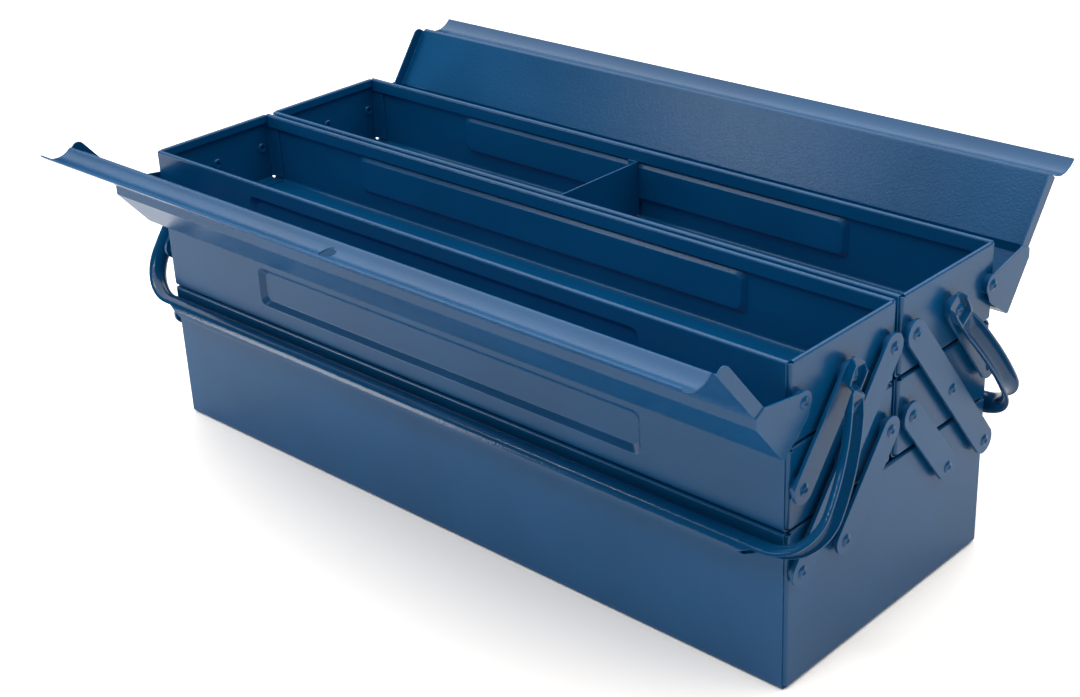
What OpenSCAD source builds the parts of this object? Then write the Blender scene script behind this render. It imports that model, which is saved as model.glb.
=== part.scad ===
// Cantilever tool box of folded sheet steel.
// A full-width base tray carries two middle and two top trays on riveted links,
// so that each half swings out over its own side. Each top tray has a hinged lid
// with a rolled inner edge, and a carrying handle that folds down over its wall.
// X runs along the box, Y from front to rear and Z up. The origin lies under the
// middle of the box, on the surface that it stands on.

/* [Box] */
// Length of the box over its end plates
box_l = 530; // [420:10:680]
// Depth of the box over its front and rear walls
box_w = 200; // [184:2:240]
// Height of the base tray
base_h = 100; // [85:5:140]
// Height of a middle or a top tray
tray_h = 50; // [46:1:62]
// Air between one tray and the tray below it
stack_gap = 0.5; // [0.4:0.1:1.5]
// Air between the front trays and the rear trays
half_gap = 3; // [2:0.5:6]

/* [Sheet metal] */
// Thickness of the sheet
sheet = 1; // [0.8:0.1:1.3]
// Outer radius of the bend between a tray's floor and its walls
floor_r = 3; // [2:0.5:5]
// Outer radius of the bend between an end plate and its flanges
fold_r = 2; // [1.6:0.2:3]
// Width of the flanges that hold an end plate in its tray
flange_w = 12; // [8:1:16]
// Width over the rolled rim of a long wall
rim_w = 3.6; // [3.4:0.1:5]
// Depth of the rolled rim of a long wall
rim_drop = 9; // [6:0.5:12]
// Depth of the rolled rim of an end plate
end_rim_drop = 6; // [4:0.5:9]

/* [Pressed panels] */
// Length of the stiffening panel pressed into a wall
panel_l = 332; // [200:2:380]
// Height of the stiffening panel
panel_h = 28; // [20:1:30]
// How far the panel is pressed in
panel_d = 3; // [1.5:0.5:4]
// Width of its sloping border
panel_slope = 4; // [2:0.5:6]
// Radius of its corners
panel_r = 5; // [4:0.5:8]
// Height of the panel's lower edge over the underside of its tray
panel_lift = 12.5; // [11:0.5:14]

/* [Linkage] */
// Distance of the outermost pivot from the outer wall
pivot_edge = 8; // [7:0.5:9]
// Distance of the innermost pivot from the middle of the box
pivot_mid = 11; // [10:0.5:13]
// Depth of every pivot below the rim of its tray
pivot_drop = 24; // [20:1:28]
// Width of a link
link_w = 17; // [14:0.5:20]
// Thickness of a link
link_t = 2; // [1.5:0.5:3]
// How far links and lids stand off the end plates
stand_off = 3; // [2:0.5:4]

/* [Rivets] */
// Shank radius of a rivet
shank_r = 2.5; // [2:0.1:3]
// Radius of a rivet head
head_r = 3.8; // [3.6:0.1:5]
// Height of a rivet head
head_h = 1.3; // [1.2:0.1:2]
// Radius of the dimple in a rivet head
dimple_r = 1.9; // [1:0.1:2]
// Radius of a rivet's tail, inside the tray
tail_r = 3.7; // [3.4:0.1:5]
// Height of a rivet's tail
tail_h = 1.2; // [1:0.1:1.6]
// Outer radius of the spacers
spacer_r = 6; // [5.4:0.2:7]

/* [Lids] */
// Angle that the front lid opens to
front_open = 130; // [120:1:134]
// Angle that the rear lid opens to
rear_open = 126; // [120:1:134]
// Height of the raised front deck of a lid over the pivots
deck_top = 30.25; // [29.25:0.25:33]
// Height of the main panel of a lid over the pivots
lid_top = 26.5; // [26:0.25:27.5]
// Width of the raised deck, from the lid's outer edge to the step
deck_w = 36.5; // [28:0.5:42]
// Width of the step between the deck and the main panel
step_w = 4.5; // [4:0.5:8]
// Radius of the bend at the lid's outer edge
lid_r = 2; // [1.5:0.5:6]
// Height of the flanges at the lid's ends
lid_flange = 8; // [6.5:0.5:10]
// How far those flanges lie inside the ears
joggle = 0.8; // [0.4:0.1:0.9]
// Radius of the corner at the flanges' inner ends
flange_r = 5; // [3:0.5:6]
// Radius of the ear round the lid's pivot
ear_r = 6.6; // [6.2:0.2:9]
// Slope of the ear's edge, in degrees
ear_slope = 42; // [36:1:46]
// Outer radius of the rolled edge of the front lid
curl_r = 15.5; // [12:0.5:16]
// How far each roll's centre lies past the middle of the box
curl_over = 3.5; // [2:0.5:6]
// Inner radius of the bend before a roll
curl_bend = 1.5; // [1:0.5:3]
// How far the rolls stop short of the lid's ends
curl_inset = 3; // [1.5:0.5:6]
// Angle that the rear lid's roll turns through
rear_turn = 84; // [70:1:90]
// Air between the roll of the rear lid and the front one that it closes over
curl_gap = 0.6; // [0.5:0.1:1.5]
// Radius of the padlock hole in the front lid's roll
lock_r = 5; // [3:0.5:6]
// Angle of the padlock hole from the roll's top
lock_turn = 58; // [40:1:64]

/* [Handles] */
// Distance from a handle's pivots to the middle of its grip
handle_reach = 104; // [100:1:110]
// Outer radius of the rolled handle section
tube_r = 7; // [6:0.5:8]
// Thickness of the handle's sheet
tube_t = 1.2; // [1:0.1:1.6]
// Distance from the end plate to the middle of the front handle's arm, at its widest
front_arm = 25; // [21:1:28]
// The same distance for the rear handle, which is sprung closer to the box
rear_arm = 21; // [21:1:28]
// Radius of the handle's corners
corner_r = 32; // [26:1:38]
// Air between a hanging handle and the wall that it comes closest to
handle_air = 1.3; // [0.5:0.1:2]
// Radius of the long outward bow of the arms
bow_r = 175; // [150:5:200]
// Thickness of the handle's flattened ends
eye_t = 1.5; // [1.2:0.1:1.8]
// Half the width of the handle's flattened ends
eye_w = 7; // [6.6:0.1:7.6]
// Length of a flattened end beyond its pivot
eye_l = 9.5; // [8:0.5:11]
// Radius of its corners
eye_r = 3; // [2:0.5:4]
// Height of the lips along a flattened end
lip_h = 4.5; // [3:0.5:5.5]
// Half the width of the handle where it is pinched
pinch_w = 6; // [5.5:0.25:6.5]
// Length from the pivot to the pinch
pinch_l = 9; // [8.5:0.5:11]
// Length from the pivot to where the arm's half round is full
neck_l = 18; // [17:1:22]
// Angle of the gap that the rolled grip leaves open
grip_gap = 80; // [60:5:120]
// Length over which the grip's roll opens at its ends
flare = 14; // [8:1:20]
// Distance from a corner's bend to the end of the grip's roll
grip_inset = 6; // [4:1:12]

/* [Divider] */
// How far the divider stands below the rim
divider_drop = 8.5; // [4:0.5:12]
// Width of its side tabs
divider_tab = 8; // [6:1:12]

/* [Hidden] */

$fn = 48;
blue = [0.15, 0.33, 0.54];
blue_dark = [0.11, 0.26, 0.45];
blue_light = [0.24, 0.44, 0.66];

// Clearances: radial at a pivot, along its axis, and at a rest
run = 0.06;
slack = 0.1;
touch = 0.3;

// Heights of the trays, and the width of one half
half_l = box_l / 2;
half_w = (box_w - half_gap) / 2;
mid_z = base_h + stack_gap;
top_z = mid_z + tray_h + stack_gap;
top_rim = top_z + tray_h;

// Bends of the rims, and the gaps between the rims at a tray's corner
hem = 0.5;
rim_gap = 0.6;
rim_r = sheet + hem;
end_rim_w = 2 * rim_r;
wall_end = half_l - fold_r;

// Pivots of the front half, as [y, z]
link_pitch = (box_w / 2 - pivot_edge - pivot_mid) / 2;
pivot_y = [for (i = [0:2]) -box_w / 2 + pivot_edge + i * link_pitch];
base_pz = base_h - pivot_drop;
mid_pz = mid_z + tray_h - pivot_drop;
top_pz = top_rim - pivot_drop;
long_base = [pivot_y[0], base_pz];
long_mid = [pivot_y[1], mid_pz];
long_top = [pivot_y[2], top_pz];
lower_base = [pivot_y[1], base_pz];
lower_mid = [pivot_y[2], mid_pz];
upper_mid = [pivot_y[0], mid_pz];
upper_top = [pivot_y[1], top_pz];
lid_pivot = [pivot_y[0], top_pz];

// Layers outwards from the end plate
link_x = half_l + stand_off + slack;
link_out = link_x + link_t;
handle_x = link_out + slack;
lid_out = link_x + sheet;

// ---------------------------------------------------------------- 2D helpers

// A wedge from angle a0 to a1, long enough to cut a circle of radius r
module wedge(a0, a1, r) {
    polygon(concat([[0, 0]], [for (i = [0:4])
        let (a = a0 + (a1 - a0) * i / 4) 2 * r * [cos(a), sin(a)]]));
}

// A bend: the part of a ring of outer radius r and wall t between two angles
module bend(c, r, t, a0, a1) {
    translate(c) intersection() {
        difference() {
            circle(r);
            circle(r - t);
        }
        wedge(a0, a1, r);
    }
}

// Sweeps a section given as [y, z] along X, from x0 to x1
module along_x(x0, x1) {
    translate([x0, 0, 0]) rotate([90, 0, 90]) linear_extrude(x1 - x0) children();
}

// Sweeps a section given as [x, z] along Y, from y0 to y1
module along_y(y0, y1) {
    translate([0, y1, 0]) rotate([90, 0, 0]) linear_extrude(y1 - y0) children();
}

// Draws its children as they are, or turned over to the left end or the rear half
module at_end(left) {
    mirror([left ? 1 : 0, 0, 0]) children();
}
module at_rear() {
    mirror([0, 1, 0]) children();
}

// ---------------------------------------------------------------- Trays

// Section of a trough of width w and height h: floor, two walls and rolled rims
module trough_section(w, h) {
    translate([floor_r, 0]) square([w - 2 * floor_r, sheet]);
    for (side = [0, 1]) translate([side * w, 0]) mirror([side, 0]) {
        bend([floor_r, floor_r], floor_r, sheet, 180, 270);
        translate([0, floor_r]) square([sheet, h - floor_r - rim_r]);
        bend([rim_r, h - rim_r], rim_r, sheet, 90, 180);
        translate([rim_r, h - sheet]) square([rim_w - 2 * rim_r, sheet]);
        bend([rim_w - rim_r, h - rim_r], rim_r, sheet, 0, 90);
        translate([rim_w - sheet, h - rim_drop]) square([sheet, rim_drop - rim_r]);
    }
}

// A stiffening panel as a solid that tapers inwards from depth y0 to y1, grown by g
module panel_form(y0, y1, g) {
    rows = [[y0, 0], [y1, panel_slope]];
    hull() for (row = rows, sx = [-1, 1], sz = [0, 1])
        translate([
            sx * (panel_l / 2 + g - row[1] - panel_r), row[0],
            sz == 0 ? row[1] - g + panel_r : panel_h + g - row[1] - panel_r
        ]) rotate([-90, 0, 0]) cylinder(r = panel_r, h = 0.02, $fn = 20);
}

// Puts its children on the inner side of each long wall, as for a wall at y = 0
module on_walls(y0, w, z0) {
    for (side = [0, 1]) translate([0, y0 + side * w, z0 + panel_lift])
        mirror([0, side, 0]) children();
}

// Trough of a small tray, with a panel pressed into each long wall
module pressed_trough(y0, w, z0, h) {
    wall_grow = sheet * 0.6;
    color(blue) difference() {
        union() {
            along_x(-wall_end, wall_end) translate([y0, z0]) trough_section(w, h);
            on_walls(y0, w, z0) panel_form(sheet / 2, sheet + panel_d, wall_grow);
        }
        on_walls(y0, w, z0) panel_form(-0.2, panel_d, 0);
    }
}

// Section, as [x, y], of an end plate's side bend and flange, with its wall at y
module side_fold(y) {
    bend([half_l - fold_r, y + fold_r], fold_r, sheet, 270, 360);
    translate([half_l - flange_w, y]) square([flange_w - fold_r, sheet]);
}

// End plate for the right end: a web with flanges inside the trough and a rolled rim
module end_plate(y0, w, z0, h, holes) {
    y_in = y0 + sheet;
    y_out = y0 + w - sheet;
    web_z = z0 + sheet + fold_r;
    rim_z = z0 + h - rim_r;
    rim_y0 = y0 + rim_w + rim_gap;
    rim_y1 = y0 + w - rim_w - rim_gap;
    rim_x = half_l - end_rim_w;
    fold_top = z0 + h - sheet - slack;
    color(blue) difference() {
        union() {
            translate([half_l - sheet, y_in + fold_r, web_z])
                cube([sheet, y_out - y_in - 2 * fold_r, rim_z - web_z]);
            translate([0, 0, web_z]) linear_extrude(fold_top - web_z) {
                side_fold(y_in);
                translate([0, y_in + y_out]) mirror([0, 1]) side_fold(y_in);
            }
            along_y(y_in + fold_r, y_out - fold_r) {
                bend([half_l - fold_r, web_z], fold_r, sheet, 270, 360);
                translate([half_l - flange_w, z0 + sheet])
                    square([flange_w - fold_r, sheet]);
            }
            along_y(rim_y0, rim_y1) {
                bend([half_l - rim_r, rim_z], rim_r, sheet, 0, 90);
                bend([rim_x + rim_r, rim_z], rim_r, sheet, 90, 180);
                translate([rim_x, z0 + h - end_rim_drop])
                    square([sheet, end_rim_drop - rim_r]);
            }
        }
        for (hole = holes) translate([half_l - 2 * sheet, hole[0], hole[1]])
            rotate([0, 90, 0]) cylinder(r = shank_r + run, h = 3 * sheet);
    }
}

// Pivots that each tray carries on one end, for the front half
base_holes = [long_base, lower_base];
mid_holes = [upper_mid, long_mid, lower_mid];
top_holes = [lid_pivot, upper_top, long_top];

// The same pivots turned over to the rear half
function to_rear(points) = [for (p = points) [-p[0], p[1]]];

module base_trough() {
    color(blue) along_x(-wall_end, wall_end)
        translate([-box_w / 2, 0]) trough_section(box_w, base_h);
}

module base_end() {
    end_plate(-box_w / 2, box_w, 0, base_h, concat(base_holes, to_rear(base_holes)));
}

module mid_trough() {
    pressed_trough(-box_w / 2, half_w, mid_z, tray_h);
}

module mid_end() {
    end_plate(-box_w / 2, half_w, mid_z, tray_h, mid_holes);
}

module top_trough() {
    pressed_trough(-box_w / 2, half_w, top_z, tray_h);
}

module top_end() {
    end_plate(-box_w / 2, half_w, top_z, tray_h, top_holes);
}

// Divider of the rear top tray, held by a folded tab on each wall
module divider() {
    wall_in = sheet + panel_d;
    y0 = half_gap / 2 + wall_in + touch;
    y1 = box_w / 2 - wall_in - touch;
    z0 = top_z + sheet;
    foot = floor_r;
    color(blue) difference() {
        translate([-sheet / 2, 0, 0]) union() {
            translate([0, y0, z0]) cube([sheet, y1 - y0, tray_h - sheet - divider_drop]);
            for (y = [y0, y1 - sheet]) translate([sheet - divider_tab, y, z0])
                cube([divider_tab, sheet, tray_h - sheet - divider_drop]);
        }
        // Corners cut away over the bends of the floor
        for (y = [y0 - 1, y1 - foot]) translate([-2 * divider_tab, y, z0 - 1])
            cube([3 * divider_tab, foot + 1, foot + 1]);
    }
}

// ---------------------------------------------------------------- Linkage

// A flat link from pivot p to pivot q, with holes at the given shares of its length
module link(p, q, shares) {
    d = q - p;
    reach = norm(d);
    color(blue_light) translate([link_x, p[0], p[1]])
        rotate([atan2(d[1], d[0]), 0, 0]) rotate([90, 0, 90])
        linear_extrude(link_t) difference() {
            union() {
                circle(link_w / 2);
                translate([reach, 0]) circle(link_w / 2);
                translate([0, -link_w / 2]) square([reach, link_w]);
            }
            for (share = shares) translate([share * reach, 0]) circle(shank_r + run);
        }
}

module long_link() {
    link(long_base, long_top, [0, 0.5, 1]);
}

module lower_link() {
    link(lower_base, lower_mid, [0, 1]);
}

module upper_link() {
    link(upper_mid, upper_top, [0, 1]);
}

// Half section of a rivet: its axis is Y, and its plate's inner face lies at y = 0
module rivet_section(grip) {
    dome = (head_r * head_r + head_h * head_h) / (2 * head_h);
    tail_cut = tail_h / 2;
    translate([0, -slack]) square([shank_r, grip + 2 * slack]);
    difference() {
        intersection() {
            translate([0, grip]) square([head_r, head_h]);
            translate([0, grip + head_h - dome]) circle(dome, $fn = 96);
        }
        translate([0, grip + head_h + 0.4 * dimple_r]) circle(dimple_r);
    }
    difference() {
        translate([0, -tail_h]) square([tail_r, tail_h]);
        translate([tail_r, -tail_h]) rotate(45) square(tail_cut * sqrt(2), center = true);
        translate([0, -tail_h]) circle(dimple_r);
    }
}

// A rivet through an end plate at pivot p, with its head outside of x = out
module rivet(p, out) {
    grip = out + slack - (half_l - sheet);
    color(blue_light) translate([half_l - sheet, p[0], p[1]])
        rotate([0, 90, 0]) rotate_extrude() rivet_section(grip);
}

// A spacer between an end plate and what turns on the pivot
module spacer(p) {
    color(blue_dark) translate([half_l, p[0], p[1]]) rotate([0, 90, 0]) difference() {
        cylinder(r = spacer_r, h = stand_off);
        translate([0, 0, -1]) cylinder(r = shank_r + run, h = stand_off + 2);
    }
}

// Puts its children at the four corners: both ends, front half and rear half
module four_ways() {
    for (left = [false, true]) at_end(left) {
        children();
        at_rear() children();
    }
}

module both_ends() {
    for (left = [false, true]) at_end(left) children();
}

module base_rivets() {
    four_ways() for (p = base_holes) rivet(p, link_out);
}

module base_spacers() {
    four_ways() for (p = base_holes) spacer(p);
}

module mid_rivets() {
    both_ends() for (p = mid_holes) rivet(p, link_out);
}

module mid_spacers() {
    both_ends() for (p = mid_holes) spacer(p);
}

module top_rivets() {
    both_ends() {
        rivet(lid_pivot, lid_out);
        rivet(upper_top, handle_x + eye_t);
        rivet(long_top, link_out);
    }
}

module top_spacers() {
    both_ends() for (p = top_holes) spacer(p);
}

// ---------------------------------------------------------------- Lids
// A lid is drawn closed, about its pivot: u runs inwards from it and w up.

lid_edge = -(pivot_edge + sheet + hem);
centre_u = box_w / 2 - pivot_edge;
curl_u = centre_u + curl_over;
curl_w = lid_top + curl_bend;

// Radius of the rear lid's roll, with the end of the front one inside it
rear_curl_r = sqrt(pow(curl_r + curl_gap, 2) + pow(2 * curl_over, 2)) + sheet;

// Height of the skirt's lower edge, which stops the open lid on the tray's wall
function skirt_w(open) =
    (pivot_edge + touch + lid_edge * cos(open)) / sin(open);

// Section of the sheet of a lid, from the skirt to the ridge before the roll
module lid_section(open, roll) {
    step_u = lid_edge + deck_w;
    low = lid_top - sheet;
    translate([lid_edge, skirt_w(open)])
        square([sheet, deck_top - lid_r - skirt_w(open)]);
    bend([lid_edge + lid_r, deck_top - lid_r], lid_r, sheet, 90, 180);
    translate([lid_edge + lid_r, deck_top - sheet])
        square([deck_w - lid_r, sheet]);
    polygon([
        [step_u, deck_top], [step_u + step_w, lid_top],
        [step_u + step_w, low], [step_u, deck_top - sheet]
    ]);
    translate([step_u + step_w, low])
        square([curl_u - roll - curl_bend - step_u - step_w, sheet]);
}

// Section of the rolled edge of a lid
module roll_section(roll, turn) {
    bend([curl_u - roll - curl_bend, curl_w], curl_bend + sheet, sheet, 270, 360);
    bend([curl_u, curl_w], roll, sheet, 180 - turn, 180);
}

// A quarter of a disc about c, in the quadrant given by the signs of q
module quarter(c, r, q) {
    translate(c) intersection() {
        circle(r);
        translate([min(q[0], 0) * r, min(q[1], 0) * r]) square(r);
    }
}

// Outline of the ear that carries a lid's pivot, as far as the step
module ear_outline() {
    step_u = lid_edge + deck_w;
    low = lid_top - lid_flange;
    inset = 0.93 * ear_r;
    heel = inset * [sin(ear_slope), -cos(ear_slope)];
    run_up = (low - heel[1]) / sin(ear_slope);
    edge_in = [lid_edge + lid_r, deck_top - lid_r];
    circle(ear_r);
    polygon([
        [lid_edge, edge_in[1]], [lid_edge, ear_r / 2], inset * [-cos(35), -sin(35)],
        heel, heel + run_up * [cos(ear_slope), sin(ear_slope)],
        [step_u + step_w, lid_top], [step_u, deck_top], [edge_in[0], deck_top], edge_in
    ]);
    quarter(edge_in, lid_r, [-1, 1]);
}

// Outline of the flange along a lid's end, from under the ear to the roll
module flange_outline(roll) {
    low = lid_top - lid_flange;
    near = lid_edge + deck_w - step_w / 2;
    far = curl_u - roll - curl_bend;
    far_in = [far - flange_r, low + flange_r];
    polygon([
        [near, low], [far_in[0], low], far_in, [far, far_in[1]],
        [far, lid_top], [near, lid_top]
    ]);
    quarter(far_in, flange_r, [1, -1]);
}

// A lid, closed about its pivot, with or without a padlock hole in its roll
module lid_closed(open, roll, turn, lock) {
    sheet_end = lid_out - sheet;
    roll_end = lid_out - curl_inset;
    difference() {
        union() {
            along_x(-sheet_end, sheet_end) lid_section(open, roll);
            along_x(-roll_end, roll_end) roll_section(roll, turn);
            both_ends() {
                along_x(sheet_end, lid_out) ear_outline();
                along_x(sheet_end - joggle, lid_out - joggle) flange_outline(roll);
            }
        }
        both_ends() translate([lid_out - 2 * sheet, 0, 0]) rotate([0, 90, 0])
            cylinder(r = shank_r + run, h = 3 * sheet);
        if (lock) translate([0, curl_u, curl_w]) rotate([lock_turn, 0, 0])
            translate([0, 0, roll - 3 * sheet]) cylinder(r = lock_r, h = 5 * sheet);
    }
}

module front_lid() {
    color(blue) translate([0, lid_pivot[0], lid_pivot[1]])
        rotate([front_open, 0, 0]) lid_closed(front_open, curl_r, 90, true);
}

module rear_lid() {
    color(blue) at_rear() translate([0, lid_pivot[0], lid_pivot[1]])
        rotate([rear_open, 0, 0]) lid_closed(rear_open, rear_curl_r, rear_turn, false);
}

// ---------------------------------------------------------------- Handles
// A handle is drawn flat: x along the box, y from its pivots to its grip.
// arm is how far its arms stand off the end plates.

corner_y = handle_reach - corner_r;
bow_turn = asin((corner_y - neck_l) / bow_r);
lap = 0.3;
function corner_x(arm) = half_l + arm - corner_r;
function bow_x(arm) = half_l + arm - bow_r;

// How far the corner has curved away where it passes the end of the base tray's wall
function corner_dip(arm) = corner_r - sqrt(pow(corner_r, 2) - pow(max(corner_r - arm, 0), 2));

// Angle at which the hanging handle stops short of the base tray's wall
function handle_rest(arm) =
    180 + acos((box_w / 2 + handle_air + tube_r + upper_top[0]) / (handle_reach - corner_dip(arm)));

// Half-round section, hollow on its outer side, x pointing away from the hand
module half_round() {
    bend([0, 0], tube_r, tube_t, 90, 180);
    bend([0, 0], tube_r, tube_t, 180, 270);
}

// The rolled section of the grip
module rolled_grip() {
    bend([0, 0], tube_r, tube_t, grip_gap / 2, 180);
    bend([0, 0], tube_r, tube_t, 180, 360 - grip_gap / 2);
}

// A slice of its children across the arm, where the neck laps over it by y1
module neck_slice(arm, y1) {
    translate([bow_x(arm), corner_y, 0]) rotate(-bow_turn) translate([bow_r, y1, 0])
        rotate([90, 0, 0]) linear_extrude(y1) children();
}

// The left half of a circle, and of its square on the open side up to x1
module open_half(r, x1) {
    intersection() {
        circle(r, $fn = 32);
        translate([-r, -r]) square([r + min(x1, 0.1), 2 * r]);
    }
    if (x1 > 0.1) translate([0, -r]) square([x1, 2 * r]);
}

// How far the pinched strip stands off the flat of the eye
function pinch_x(arm) = bow_x(arm) + sqrt(pow(bow_r, 2) - pow(corner_y - pinch_l, 2)) - handle_x;

// The neck, where the pinched strip opens out into the half round
module neck(arm) {
    out = handle_x + pinch_x(arm);
    inner_w = pinch_w - tube_t;
    difference() {
        hull() {
            neck_slice(arm, lap) open_half(tube_r + 0.15, 0.1);
            translate([out - eye_t, pinch_l, -pinch_w]) cube([eye_t, lap, 2 * pinch_w]);
        }
        hull() {
            neck_slice(arm, 2 * lap) open_half(tube_r - tube_t - 0.1, tube_r);
            translate([out, pinch_l - lap, -inner_w]) cube([tube_r, lap, 2 * inner_w]);
        }
    }
}

// Half the width of the eye at a distance along the arm
function eye_side(y) = eye_w - (eye_w - pinch_w) * max(y, 0) / pinch_l;

// Outline of the eye, from its end to the pinch, as [across, along]
module eye_outline(end_y) {
    for (side = [-1, 1]) translate([side * (eye_w - eye_r), eye_r - eye_l]) circle(eye_r);
    translate([eye_r - eye_w, -eye_l]) square([2 * (eye_w - eye_r), 2 * eye_r]);
    polygon([
        [-eye_w, eye_r - eye_l], [-eye_w, 0], [-eye_side(end_y), end_y],
        [eye_side(end_y), end_y], [eye_w, 0], [eye_w, eye_r - eye_l]
    ]);
}

// The strips along both sides of the eye's outline that are folded up as lips
module lip_strips(end_y) {
    difference() {
        eye_outline(end_y);
        polygon([
            [tube_t - eye_w, -eye_l - 1], [tube_t - eye_w, 0],
            [tube_t - eye_side(end_y + 1), end_y + 1], [eye_side(end_y + 1) - tube_t, end_y + 1],
            [eye_w - tube_t, 0], [eye_w - tube_t, -eye_l - 1]
        ]);
    }
}

// Stands what is drawn as [across, along] on the flat side of the eye
module on_eye(height) {
    rotate([90, 0, 90]) linear_extrude(height) mirror([1, 0]) rotate(90) children();
}

// The eye: flat round the pivot, then stepped out to the pinch, with a lip on each side
module eye(arm) {
    step = pinch_x(arm) - eye_t;
    foot = head_r + touch + eye_t / 2;
    end_y = pinch_l + lap / 2;
    translate([handle_x, 0, 0]) {
        intersection() {
            translate([0, 0, -eye_w]) linear_extrude(2 * eye_w) polygon([
                [0, -eye_l], [0, foot], [step, pinch_l - eye_t / 2], [step, end_y],
                [step + eye_t, end_y], [step + eye_t, pinch_l - eye_t],
                [eye_t, foot - eye_t / 2], [eye_t, -eye_l]
            ]);
            on_eye(step + eye_t) eye_outline(end_y);
        }
        intersection() {
            translate([0, 0, -eye_w]) linear_extrude(2 * eye_w) polygon([
                [0.2, -eye_l], [lip_h, lip_h - eye_l], [lip_h, foot],
                [step + eye_t, end_y - lap], [step + 0.2, end_y - lap], [0.2, foot - 0.2]
            ]);
            on_eye(lip_h) lip_strips(end_y);
        }
    }
}

// One arm with its corner, on the right
module handle_arm(arm) {
    translate([corner_x(arm), corner_y, 0]) rotate_extrude(angle = 90)
        translate([corner_r, 0]) half_round();
    translate([bow_x(arm), corner_y, 0]) rotate_extrude(angle = -bow_turn)
        translate([bow_r, 0]) half_round();
    neck(arm);
    eye(arm);
}

module handle_flat(arm) {
    grip_end = corner_x(arm) - grip_inset;
    opening = atan(tube_r / flare);
    difference() {
        union() {
            both_ends() handle_arm(arm);
            for (part = [0, 1]) {
                reach = part == 0 ? corner_x(arm) : grip_end;
                translate([0, handle_reach, 0]) rotate([0, -90, 0]) rotate([0, 0, 90])
                    translate([0, 0, -reach]) linear_extrude(2 * reach)
                        if (part == 0) half_round(); else rolled_grip();
            }
        }
        both_ends() {
            translate([handle_x - 1, 0, 0]) rotate([0, 90, 0])
                cylinder(r = shank_r + run, h = eye_t + 2);
            translate([grip_end, handle_reach, -2 * tube_r]) rotate(180 - opening)
                translate([0, -2 * tube_r, 0])
                cube([flare + 2 * tube_r, 2 * tube_r, 4 * tube_r]);
        }
    }
}

module front_handle() {
    color(blue) translate([0, upper_top[0], upper_top[1]])
        rotate([handle_rest(front_arm), 0, 0]) handle_flat(front_arm);
}

module rear_handle() {
    color(blue) at_rear() translate([0, upper_top[0], upper_top[1]])
        rotate([handle_rest(rear_arm), 0, 0]) handle_flat(rear_arm);
}

// ---------------------------------------------------------------- Nodes

base_trough();
at_end(true) base_end();  // base_end_left
base_end();  // base_end_right
base_rivets();
base_spacers();

at_end(true) long_link();  // front_long_link_left
long_link();  // front_long_link_right
at_end(true) lower_link();  // front_lower_link_left
lower_link();  // front_lower_link_right
at_end(true) upper_link();  // front_upper_link_left
upper_link();  // front_upper_link_right
mid_trough();  // front_mid_trough
at_end(true) mid_end();  // front_mid_end_left
mid_end();  // front_mid_end_right
mid_rivets();  // front_mid_rivets
mid_spacers();  // front_mid_spacers
top_trough();  // front_top_trough
at_end(true) top_end();  // front_top_end_left
top_end();  // front_top_end_right
top_rivets();  // front_top_rivets
top_spacers();  // front_top_spacers
front_lid();
front_handle();

at_rear() at_end(true) long_link();  // rear_long_link_left
at_rear() long_link();  // rear_long_link_right
at_rear() at_end(true) lower_link();  // rear_lower_link_left
at_rear() lower_link();  // rear_lower_link_right
at_rear() at_end(true) upper_link();  // rear_upper_link_left
at_rear() upper_link();  // rear_upper_link_right
at_rear() mid_trough();  // rear_mid_trough
at_rear() at_end(true) mid_end();  // rear_mid_end_left
at_rear() mid_end();  // rear_mid_end_right
at_rear() mid_rivets();  // rear_mid_rivets
at_rear() mid_spacers();  // rear_mid_spacers
at_rear() top_trough();  // rear_top_trough
at_rear() at_end(true) top_end();  // rear_top_end_left
at_rear() top_end();  // rear_top_end_right
at_rear() top_rivets();  // rear_top_rivets
at_rear() top_spacers();  // rear_top_spacers
rear_lid();
rear_handle();
divider();  // rear_divider
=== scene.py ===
# %% [markdown]
# # A cantilever tool box in blue enamel
#
# The box is folded from 1 mm sheet steel: a base tray, four smaller trays that swing out on
# riveted links, two half lids and two carrying handles. Its shape comes ready made from the
# CAD model, so this lesson is about finish and light. A painted object looks real when the
# light slides over it unevenly, so most of the work goes into one enamel and into what the
# enamel mirrors.

# %% Set up: load the model, which is the frame for everything here
import math

import bmesh
import bpy
from mathutils import Matrix, Vector

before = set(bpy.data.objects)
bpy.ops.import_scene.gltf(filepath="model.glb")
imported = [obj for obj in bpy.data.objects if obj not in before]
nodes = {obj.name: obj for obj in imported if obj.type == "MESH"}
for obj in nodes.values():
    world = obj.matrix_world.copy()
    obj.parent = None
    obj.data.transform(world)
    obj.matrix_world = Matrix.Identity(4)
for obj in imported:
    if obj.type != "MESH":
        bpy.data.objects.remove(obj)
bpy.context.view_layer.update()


# %% [markdown]
# A colour is easiest to pick as the hex code that a paint program shows, which is sRGB.
# Blender's shaders count in linear light, so one function turns the code into that, with
# the numbers of the sRGB standard. A second one makes a shade of a colour, for dark and
# light patches of the same paint.

# %% Colours
def srgb(code):
    """A colour from its sRGB hex code, as linear RGBA."""
    out = []
    for i in (0, 2, 4):
        c = int(code[i:i + 2], 16) / 255
        out.append(c / 12.92 if c <= 0.04045 else ((c + 0.055) / 1.055) ** 2.4)
    return (*out, 1.0)


def shade(colour, factor):
    """The colour, made darker or lighter."""
    return (*(channel * factor for channel in colour[:3]), 1.0)


BLUE = srgb("035283")
print("the enamel's blue in linear light:", [round(channel, 3) for channel in BLUE[:3]])


# %% [markdown]
# A material is a tree of small nodes. Adding one takes several lines, so one function adds
# a node, sets what is constant on it and links what other nodes feed to it. Some nodes have
# several sockets of one name. Those are called by their number, and the numbers get names.

# %% Adding a shader node
FACTOR, FIRST, SECOND = 0, 1, 2              # the inputs of a Mix Shader node
COLOUR_A, COLOUR_B, MIXED_COLOUR = 6, 7, 2   # the colour sockets of a Mix node


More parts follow.
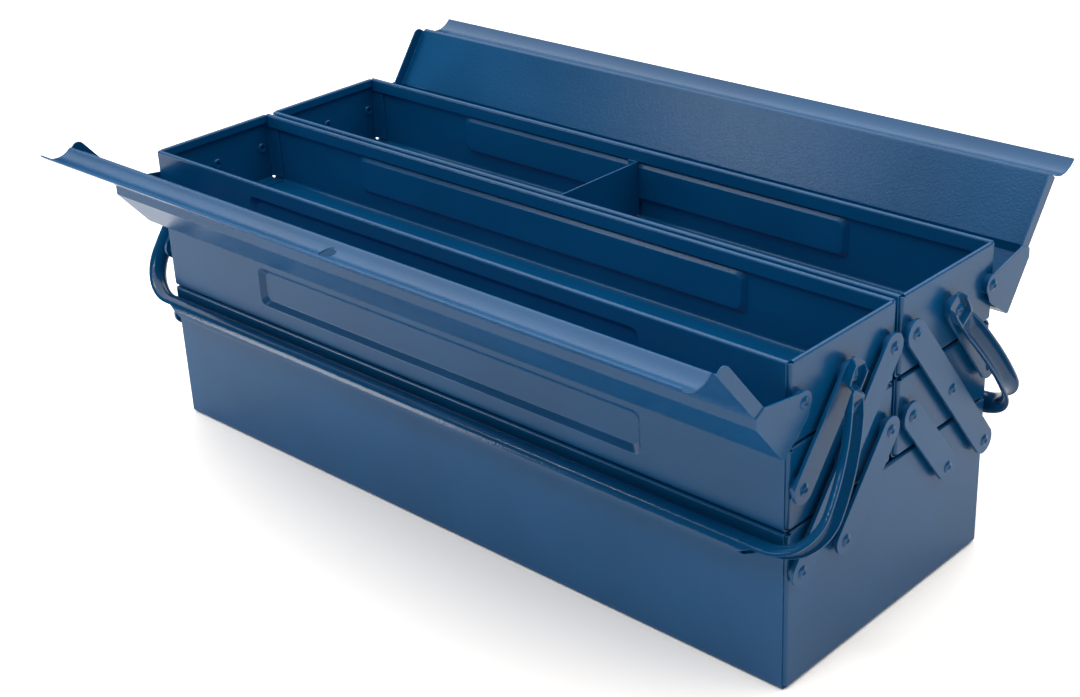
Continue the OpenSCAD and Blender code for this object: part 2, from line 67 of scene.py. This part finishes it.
def add(tree, kind, links=None, **values):
    """Adds a shader node; values set its sockets or properties, links feeds its inputs."""
    node = tree.nodes.new(kind)
    for key, value in values.items():
        if key in node.inputs:
            node.inputs[key].default_value = value
        else:
            setattr(node, key, value)
    for key, source in (links or {}).items():
        tree.links.new(source, node.inputs[key])
    return node


# %% [markdown]
# Stove enamel is sprayed on steel and baked. The eye knows it by four things. It has a fine
# skin like orange peel, with bumps a millimetre or two across and shallower than a hair.
# It sags a little, so long reflections waver over some 70 mm. It is thin on sharp edges,
# which are softly rounded; light draws thin bright lines along them, and here a lighter
# blue is painted on them as a highlight. And its gloss varies slowly.
# A picture of paint could give all four, but it would need unwrapping and would repeat.
# Noise on the object's own coordinates does not. They are in metres, so a noise scale is
# about one over the size of a bump.

# %% Measures of the enamel
PEEL_SCALE, LID_PEEL_SCALE, SAG_SCALE = 620.0, 760.0, 14.0
PEEL_DEPTH, PEEL_STRENGTH = 0.0003, 0.25   # metres, and how much of them is used
SAG_DEPTH, SAG_STRENGTH = 0.001, 0.3
SHEET_EDGE, STRIP_EDGE, RIVET_EDGE = 0.0006, 0.0004, 0.0003   # edge radii in metres
EDGE_BEGINS, EDGE_FULL = 0.98, 0.8   # cosine of the angle between the two normals
THICK, THIN, PAINTED_EDGE_HIGHLIGHT = 0.92, 1.08, 2.3   # shades of the paint by its thickness, and the painted highlight on edges
THICK_AT, THIN_AT = 0.3, 0.7   # values of the slow noise that have those shades
GLOSSIER, DULLER = -0.03, 0.05   # how far the roughness strays
PAINT_IOR = 1.5
EDGE_RAYS = 6   # rays that look for an edge round each point
for what, scale in (("peel", PEEL_SCALE), ("lids' peel", LID_PEEL_SCALE), ("sag", SAG_SCALE)):
    print(what, "has bumps", round(1000 / scale, 1), "mm across")


# %% [markdown]
# The tree below takes the two noises in turn. The slow one is the sag, and the fine one is
# the peel on top of it. The Bevel node rounds the edges only in the shading, which leaves
# the mesh as it is. Where its normal differs from the surface's own, there is an edge, and
# a lighter blue is painted there as a highlight. The slow noise also moves the shade and
# the roughness, as thick paint is both darker and glossier. Paint is no metal: its IOR stays
# at 1.5, where it mirrors 4 percent straight on and much more at a glance.

# %% The enamel
def enamel(name, colour, rough, peel=1.0, edge_r=SHEET_EDGE, fine=PEEL_SCALE):
    """Stove enamel: orange peel, a slow sag, varying gloss, and painted highlights on edges.
    """
    mat = bpy.data.materials.new(name)
    mat.use_nodes = True
    tree = mat.node_tree
    tree.nodes.clear()
    where = add(tree, "ShaderNodeTexCoord").outputs["Object"]
    grain = add(tree, "ShaderNodeTexNoise", {"Vector": where},
                **{"Scale": fine, "Detail": 1.5, "Roughness": 0.5}).outputs["Fac"]
    wave = add(tree, "ShaderNodeTexNoise", {"Vector": where},
               **{"Scale": SAG_SCALE, "Detail": 2.0, "Roughness": 0.45}).outputs["Fac"]

    edge = add(tree, "ShaderNodeBevel", samples=EDGE_RAYS,
               **{"Radius": edge_r}).outputs["Normal"]
    sag = add(tree, "ShaderNodeBump", {"Height": wave, "Normal": edge},
              **{"Strength": SAG_STRENGTH, "Distance": SAG_DEPTH})
    skin = add(tree, "ShaderNodeBump", {"Height": grain, "Normal": sag.outputs["Normal"]},
               **{"Strength": PEEL_STRENGTH * peel, "Distance": PEEL_DEPTH})

    own = add(tree, "ShaderNodeNewGeometry").outputs["Normal"]
    turned = add(tree, "ShaderNodeVectorMath", {0: edge, 1: own}, operation="DOT_PRODUCT")
    painted_highlight_mask = add(tree, "ShaderNodeMapRange", {"Value": turned.outputs["Value"]},
                  **{"From Min": EDGE_BEGINS, "From Max": EDGE_FULL})
    uneven = add(tree, "ShaderNodeValToRGB", {"Fac": wave})
    stops = zip(uneven.color_ramp.elements, (THICK_AT, THIN_AT), (THICK, THIN))
    for stop, place, factor in stops:
        stop.position = place
        stop.color = shade(colour, factor)
    # A lighter blue is mixed in on the edges: this is a painted highlight.
    tone = add(tree, "ShaderNodeMix", {"Factor": painted_highlight_mask.outputs["Result"],
                                       COLOUR_A: uneven.outputs["Color"]}, data_type="RGBA")
    tone.inputs[COLOUR_B].default_value = shade(colour, PAINTED_EDGE_HIGHLIGHT)

    gloss = add(tree, "ShaderNodeMapRange", {"Value": wave},
                **{"To Min": rough + GLOSSIER, "To Max": rough + DULLER})
    coat = add(tree, "ShaderNodeBsdfPrincipled",
               {"Base Color": tone.outputs[MIXED_COLOUR], "Normal": skin.outputs["Normal"],
                "Roughness": gloss.outputs["Result"]}, **{"IOR": PAINT_IOR})
    add(tree, "ShaderNodeOutputMaterial", {"Surface": coat.outputs["BSDF"]})
    return mat


# %% [markdown]
# The whole box is sprayed in one blue, but each kind of part takes the paint differently.
# It is thick and even on the trays and links. The lids are larger sheets that lie flat in
# the oven, and their peel is finer and deeper. The handles are rolled from a strip, and
# hands have polished them; their blue is made darker, which is a painted shade. Paint pools
# round the small rivets, which makes them glossy.
# One material on everything would do, but it makes the box look cast in one piece. So
# there is a finish for each kind, made by the same function with its own values.

# %% The finishes
finishes = {
    "sheet": enamel("blue_enamel_on_sheet", BLUE, rough=0.24),
    "lid": enamel("blue_enamel_on_lids", BLUE, rough=0.22, peel=1.3, fine=LID_PEEL_SCALE),
    "link": enamel("blue_enamel_on_links", BLUE, rough=0.24, peel=0.7, edge_r=STRIP_EDGE),
    # The handles' blue is darkened to 0.8 of the others: this is a painted shade.
    "handle": enamel("gloss_blue_enamel_on_handles", shade(BLUE, 0.8), rough=0.13, peel=1.2,
                     edge_r=STRIP_EDGE),
    "rivet": enamel("pooled_blue_enamel_on_rivets", BLUE, rough=0.12, peel=0.4,
                    edge_r=RIVET_EDGE),
    "spacer": enamel("blue_enamel_on_spacers", BLUE, rough=0.28, peel=0.5,
                     edge_r=RIVET_EDGE),
}
print(len(finishes), "finishes, each a tree of",
      len(finishes["sheet"].node_tree.nodes), "nodes")


# %% [markdown]
# Every node of the model is named after its part, so the words in a name tell its finish.
# The material goes into the slot that the node already has. The faces are shaded smooth,
# because the model's own normals already keep flat sheet flat and creases sharp.

# %% Giving each node its finish
def finish_of(name):
    """The key of a node's finish, from the words in its name."""
    for word in ("rivet", "spacer", "link", "lid", "handle"):
        if word in name:
            return word
    return "sheet"


for name, node in nodes.items():
    for slot in node.material_slots:
        slot.material = finishes[finish_of(name)]
    for face in node.data.polygons:
        face.use_smooth = True
print({key: sum(finish_of(name) == key for name in nodes) for key in finishes})


# %% [markdown]
# The box stands on a sheet of white paper. A studio curves such a sheet up behind the
# object; here a flat one is enough, because it runs on far past what the camera sees. The
# paper does two jobs. It is what the walls mirror, so its colour there is that of real
# paper. Seen by the camera, it has to come out white up to the box's soft shadow, so it is
# lighter there than any paper is, and a little warm, which takes the blue out of the
# shadow. A Light Path node tells the two apart.

# %% The paper under the box
PAPER_HALF = 9   # metres from its middle to its edge
PAPER = srgb("F1F1F1")
PAPER_SEEN = shade(srgb("FFFAF3"), 1.6)

sweep_mesh = bpy.data.meshes.new("sweep")
sweep = bmesh.new()
bmesh.ops.create_grid(sweep, x_segments=1, y_segments=1, size=PAPER_HALF)
sweep.to_mesh(sweep_mesh)
sweep.free()
floor = bpy.data.objects.new("sweep", sweep_mesh)
bpy.context.scene.collection.objects.link(floor)
print("the paper is", [round(side, 1) for side in floor.dimensions[:2]], "metres")

# %% The paper's white
paper = bpy.data.materials.new("white_paper")
paper.use_nodes = True
fibres = paper.node_tree
fibres.nodes.clear()
to_camera = add(fibres, "ShaderNodeLightPath").outputs["Is Camera Ray"]
matt = add(fibres, "ShaderNodeBsdfDiffuse", **{"Color": PAPER}).outputs["BSDF"]
clean = add(fibres, "ShaderNodeBsdfDiffuse", **{"Color": PAPER_SEEN}).outputs["BSDF"]
seen = add(fibres, "ShaderNodeMixShader", {FACTOR: to_camera, FIRST: matt, SECOND: clean})
add(fibres, "ShaderNodeOutputMaterial", {"Surface": seen.outputs["Shader"]})
sweep_mesh.materials.append(paper)
print("the paper is", [round(channel, 2) for channel in PAPER[:3]], "in linear light, seen as",
      [round(channel, 2) for channel in PAPER_SEEN[:3]])


# %% [markdown]
# Gloss paint shows the room around it. A product studio is a dark room with a few large
# lights, and the dark is what makes the blue look deep. So the world is nearly black where
# the paint mirrors it, a dim grey where it only fills in shadows, and nearly white where
# the camera looks past the box at the backdrop.

# %% The room
world = bpy.data.worlds.new("studio")
world.use_nodes = True
room = world.node_tree
room.nodes.clear()
rays = add(room, "ShaderNodeLightPath").outputs
WHITE = (1.0, 1.0, 1.0, 1.0)
strengths = {"dim": 0.176, "dark": 0.032, "backdrop": 0.96}
glow = {name: add(room, "ShaderNodeBackground",
                  **{"Color": WHITE, "Strength": value}).outputs["Background"]
        for name, value in strengths.items()}
mirrored = add(room, "ShaderNodeMixShader", {FACTOR: rays["Is Glossy Ray"],
                                             FIRST: glow["dim"], SECOND: glow["dark"]})
shown = add(room, "ShaderNodeMixShader", {FACTOR: rays["Is Camera Ray"],
                                          FIRST: mirrored.outputs["Shader"],
                                          SECOND: glow["backdrop"]})
add(room, "ShaderNodeOutputWorld", {"Surface": shown.outputs["Shader"]})
bpy.context.scene.world = world
print("the room's strengths:", strengths)


# %% [markdown]
# Four lights stand in the room. A wide cloth overhead, leaning to the back, makes the soft
# shadow and the long sheen on the front lid's roll; a sun lamp with a wide angle is such a
# cloth at any distance. A weak spot fills in the front wall. A small square one on the left
# puts the patch of sheen on the rear lid, which fades towards both its ends. An upright box
# near the floor on the left draws the thin bright lines along the rims and the handles.
# The camera sees none of the lamps themselves, so that they stay out of every view.

# %% The lights
def lamp(name, kind, place, aim, **values):
    """A lamp at a place, turned towards what it is aimed at."""
    data = bpy.data.lights.new(name, kind)
    for key, value in values.items():
        setattr(data, key, value)
    obj = bpy.data.objects.new(name, data)
    obj.location = place
    obj.rotation_euler = (Vector(aim) - Vector(place)).to_track_quat("-Z", "Y").to_euler()
    obj.visible_camera = False
    bpy.context.scene.collection.objects.link(obj)
    print(name, kind.lower(), "at", place)


lamp("overhead", "SUN", place=(-0.2, 0.4, 2.0), aim=(0, 0, 0), energy=3.1,
     angle=math.radians(104))
lamp("front_fill", "SPOT", place=(0.1, -1.5, 1.9), aim=(0, -0.35, 0), energy=22,
     shadow_soft_size=0.25, spot_size=math.radians(55), spot_blend=1.0)
lamp("left_square", "AREA", place=(-0.98, -0.86, 1.33), aim=(0.06, 0.15, 0.25), energy=0.75,
     shape="SQUARE", size=0.18)
lamp("low_left_box", "AREA", place=(-1.03, -1.05, 0.3), aim=(0, 0, 0.2), energy=4.0,
     shape="RECTANGLE", size=0.4, size_y=0.6)


# %% [markdown]
# The camera looks down on the front and the right end, from a metre and a quarter away.
# A camera can be turned by three angles, but they are hard to picture. Here its three
# directions are given instead: the picture's right, its down and the way it looks. The
# lens is a longish one, in millimetres on a 36 mm sensor, so that the box narrows only a
# little towards its far end. The small shifts put the box where it lies in the frame.

# %% The camera
RIGHT = Vector((0.7319895882, 0.6799460542, -0.0431810844))
DOWN = Vector((0.2638871479, -0.3413760462, -0.9021230339))
AHEAD = Vector((-0.6281359852, 0.6489497349, -0.4293127365))
EYE = Vector((0.742560, -0.767974, 0.611182))

lens = bpy.data.cameras.new("camera")
lens.sensor_width = 36
lens.sensor_fit = "HORIZONTAL"
lens.lens = 60.6611
lens.shift_x = -0.004162
lens.shift_y = -0.015378
lens.clip_start = 0.05
camera = bpy.data.objects.new("camera", lens)
turn = Matrix((RIGHT, -DOWN, -AHEAD)).transposed().to_4x4()
camera.matrix_world = Matrix.Translation(EYE) @ turn
bpy.context.scene.collection.objects.link(camera)
bpy.context.scene.camera = camera
bpy.context.scene.view_settings.view_transform = "Standard"
print("the camera is", round(EYE.length, 2), "metres from the middle of the base")
